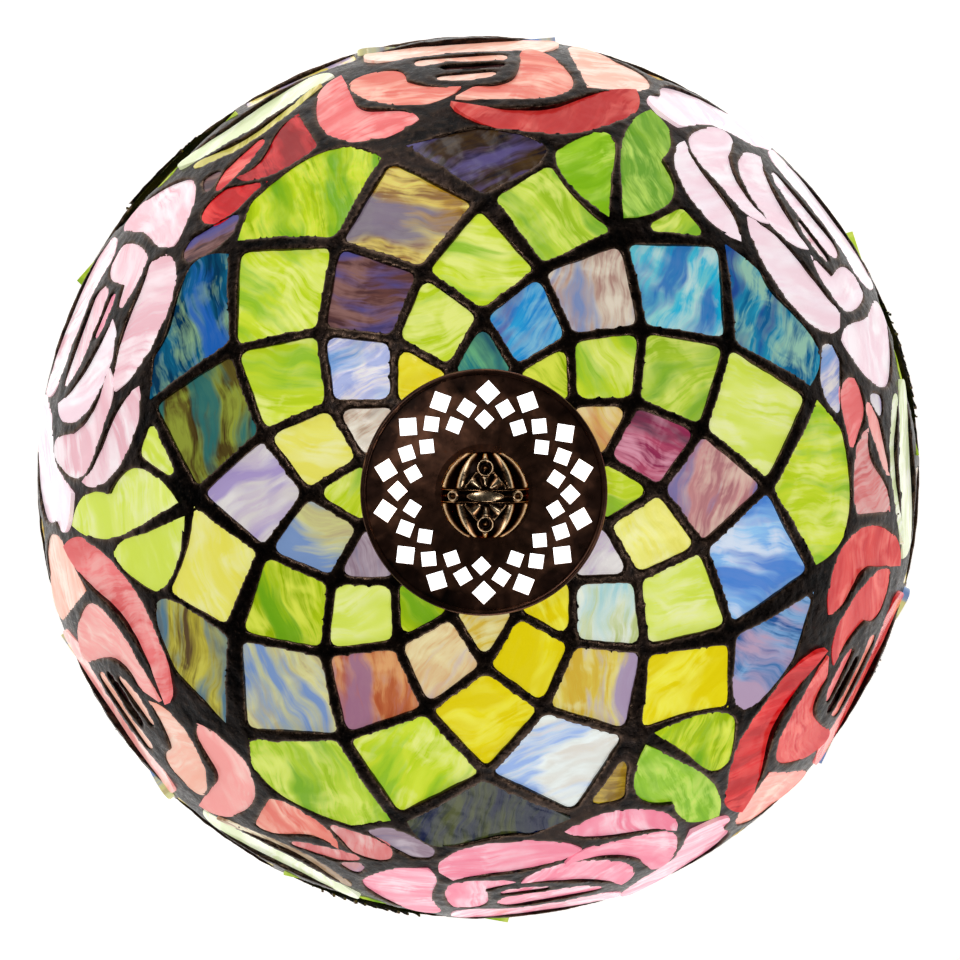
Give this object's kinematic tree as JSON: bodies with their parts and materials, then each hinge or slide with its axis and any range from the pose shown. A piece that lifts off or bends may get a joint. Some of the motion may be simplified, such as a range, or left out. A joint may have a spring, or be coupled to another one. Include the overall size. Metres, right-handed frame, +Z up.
{
  "type": "stained glass table lamp",
  "caption": "Table lamp with a domed leaded glass shade of diamonds and roses, vented cap, ball finial, turned stem and pull-chain lampholders.",
  "frame": {"origin": "centre of the underside of the foot", "axes": "+Z up the stem, +X along the two lampholder arms, +Y towards the cord inlet at the back"},
  "size_m": [0.3158, 0.3158, 0.4582],
  "materials": {
    "lime_glass": "streaky yellow-green opalescent sheet glass",
    "mixed_glass": "streaky multicoloured opalescent sheet glass",
    "amber_glass": "streaky amber opalescent sheet glass",
    "blue_glass": "streaky blue opalescent sheet glass",
    "green_glass": "wispy green opalescent sheet glass",
    "pink_glass": "pale pink opalescent sheet glass",
    "red_glass": "red and salmon opalescent sheet glass",
    "bulb_glass": "frosted lamp glass",
    "solder": "dark bronze patina on rounded solder beads",
    "bronze": "dark bronze patina with rubbed edges",
    "cast_bronze": "burnished antique bronze casting",
    "iron": "rough cast iron",
    "steel": "zinc plated steel",
    "nickel": "nickel plated lamp cap",
    "brass": "aged brass",
    "chain_brass": "aged brass bead chain",
    "felt": "dark green felt",
    "rubber": "black rubber",
    "phenolic": "dark moulded phenolic",
    "card": "insulating fibre card"
  },
  "bodies": {
    "base": {"foot_felt": "felt", "foot_casting": "bronze", "foot_ballast": "iron", "foot_washer": "steel", "foot_nut": "steel", "cord_inlet_grommet": "rubber", "threaded_pipe": "steel", "stem_lower": "bronze", "stem_knop": "bronze", "stem_upper": "bronze", "cluster_body": "bronze", "cluster_cover": "bronze", "riser_pipe": "steel", "lampholder_arms": "bronze", "lampholder_caps": "brass", "lampholder_shells": "brass", "lampholder_liners": "card", "lampholder_switch_blocks": "phenolic", "lampholder_screw_shells": "brass", "lampholder_contacts": "brass", "chain_bells": "brass", "check_ring": "brass"},
    "shade": {"collar_triangles": "lime_glass", "upper_diamonds": "mixed_glass", "middle_diamonds": "mixed_glass", "lower_diamonds": "mixed_glass", "rim_border": "amber_glass", "leaf_side_diamonds": "lime_glass", "last_diamonds": "lime_glass", "over_rose_diamonds": "blue_glass", "filler_wedges": "mixed_glass", "upper_leaves": "green_glass", "pink_outer_petals": "pink_glass", "pink_inner_petals": "pink_glass", "pink_heart_petals": "pink_glass", "pink_skirt_petals": "pink_glass", "red_outer_petals": "red_glass", "red_inner_petals": "red_glass", "red_heart_petals": "red_glass", "red_skirt_petals": "red_glass", "red_buds": "red_glass", "lower_leaves": "green_glass", "ground_panes": "lime_glass", "shade_leading": "solder", "shade_rim_band": "solder", "shade_spider": "brass"},
    "cap": {"heat_cap": "bronze"},
    "washer": {"finial_washer": "brass"},
    "finial": {"finial": "cast_bronze", "finial_bush": "brass"},
    "bulb_left": {"bulb_glass_left": "bulb_glass", "bulb_cap_left": "nickel", "bulb_stem_left": "bulb_glass"},
    "switch_link_left": {"chain_link_left": "chain_brass"},
    "chain_left": {"pull_chain_left": "chain_brass"},
    "bulb_right": {"bulb_glass_right": "bulb_glass", "bulb_cap_right": "nickel", "bulb_stem_right": "bulb_glass"},
    "switch_link_right": {"chain_link_right": "chain_brass"},
    "chain_right": {"pull_chain_right": "chain_brass"}
  },
  "joints": [
    {"name": "shade_turn", "type": "hinge", "parent": "base", "child": "shade", "pos_m": [0, 0, 0.4216], "axis": [0, 0, 1], "continuous": true},
    {"name": "cap_turn", "type": "hinge", "parent": "base", "child": "cap", "pos_m": [0, 0, 0.428], "axis": [0, 0, 1], "continuous": true},
    {"name": "finial_lift", "type": "slide", "parent": "base", "child": "washer", "axis": [0, 0, 1], "range_m": [0, 0.011]},
    {"name": "finial_turn", "type": "hinge", "parent": "washer", "child": "finial", "pos_m": [0, 0, 0.435], "axis": [0, 0, 1], "range_deg": [0, 3970]},
    {"name": "bulb_left_turn", "type": "hinge", "parent": "base", "child": "bulb_left", "pos_m": [-0.016, 0, 0.303], "axis": [-0.766, 0, 0.6428], "range_deg": [0, 360]},
    {"name": "switch_pull_left", "type": "slide", "parent": "base", "child": "switch_link_left", "axis": [0, 0, -1], "range_m": [0, 0.008], "stiffness_N_per_m": 200},
    {"name": "chain_swing_left", "type": "hinge", "parent": "switch_link_left", "child": "chain_left", "pos_m": [-0.05, 0, 0.3048], "axis": [0, 1, 0], "range_deg": [-12, 12]},
    {"name": "bulb_right_turn", "type": "hinge", "parent": "base", "child": "bulb_right", "pos_m": [0.016, 0, 0.303], "axis": [0.766, 0, 0.6428], "range_deg": [0, 360]},
    {"name": "switch_pull_right", "type": "slide", "parent": "base", "child": "switch_link_right", "axis": [0, 0, -1], "range_m": [0, 0.008], "stiffness_N_per_m": 200},
    {"name": "chain_swing_right", "type": "hinge", "parent": "switch_link_right", "child": "chain_right", "pos_m": [0.05, 0, 0.3048], "axis": [0, 1, 0], "range_deg": [-12, 12]}
  ],
  "couplings": [
    {"joint": "finial_turn", "follows": "finial_lift", "rad_per_m": 6283.2}
  ]
}
